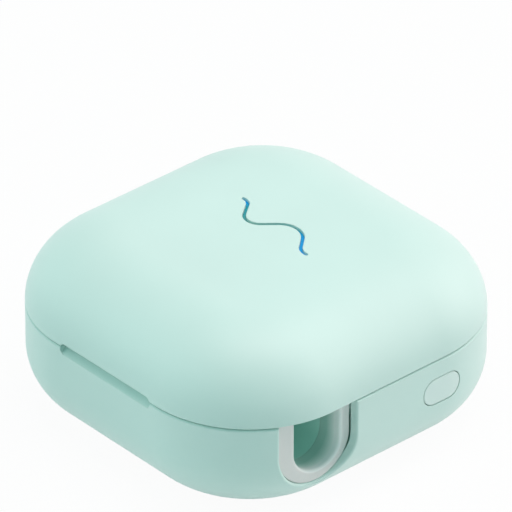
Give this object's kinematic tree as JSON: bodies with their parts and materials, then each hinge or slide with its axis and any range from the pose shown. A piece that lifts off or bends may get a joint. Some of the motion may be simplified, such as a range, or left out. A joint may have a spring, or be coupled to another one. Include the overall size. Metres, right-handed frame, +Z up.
{
  "type": "toothbrush sterilizer",
  "caption": "Pocket UV toothbrush sterilizer: rounded mint case with a hinged lid, a brush-head chamber, a lined neck slot in the side, a power button and a wave-shaped indicator light.",
  "frame": {"origin": "centre of the face that the closed case stands on", "axes": "+Z up, -Y towards the thumb notch, +Y towards the hinge, +X towards the neck slot and the button"},
  "size_m": [0.075, 0.075, 0.0363],
  "materials": {
    "case_plastic": "satin mint plastic",
    "tray_plastic": "satin mint plastic, a shade deeper",
    "soft_liner": "matte light grey",
    "pad_rubber": "matte",
    "clear_guide": "glossy clear plastic lit blue",
    "uv_window": "polished dark glass",
    "board": "satin lacquer",
    "chip": "matte",
    "led_body": "satin",
    "steel": "satin",
    "port_metal": "polished",
    "magnet": "nickel plated",
    "foil": "satin foil",
    "foam": "matte foam",
    "lead": "matte",
    "switch_plastic": "matte"
  },
  "bodies": {
    "base": {"base_shell": "case_plastic", "base_pad": "pad_rubber", "inner_tray": "tray_plastic", "brush_cup": "tray_plastic", "slot_liner": "soft_liner", "uv_windows": "uv_window", "uv_board": "board", "uv_leds": "led_body", "uv_board_screws": "steel", "main_board": "board", "board_screws": "steel", "tray_screws": "steel", "board_chips": "chip", "link_header": "chip", "indicator_leds": "led_body", "hall_sensor": "chip", "usb_port": "port_metal", "usb_tongue": "chip", "battery_pad": "foam", "battery_cell": "foil", "battery_guard": "board", "battery_socket": "led_body", "battery_leads": "lead", "deck_light_guide": "clear_guide", "tray_magnet": "magnet", "switch_body": "switch_plastic", "hinge_pin": "steel"},
    "lid": {"lid_shell": "case_plastic", "lid_liner": "tray_plastic", "lid_light_guide": "clear_guide", "lid_magnet": "magnet", "lid_catch_magnet": "magnet"},
    "button": {"power_button": "case_plastic"},
    "plunger": {"switch_plunger": "switch_plastic"}
  },
  "joints": [
    {"name": "lid_hinge", "type": "hinge", "parent": "base", "child": "lid", "pos_m": [0, 0.036, 0.0213], "axis": [-1, 0, 0], "range_deg": [0, 108]},
    {"name": "button_press", "type": "slide", "parent": "base", "child": "button", "axis": [-1, 0, 0], "range_m": [0, 0.0004], "stiffness_N_per_m": 3000},
    {"name": "plunger_press", "type": "slide", "parent": "base", "child": "plunger", "axis": [-1, 0, 0], "range_m": [0, 0.0004]}
  ],
  "couplings": [
    {"joint": "plunger_press", "follows": "button_press", "ratio": 1}
  ]
}
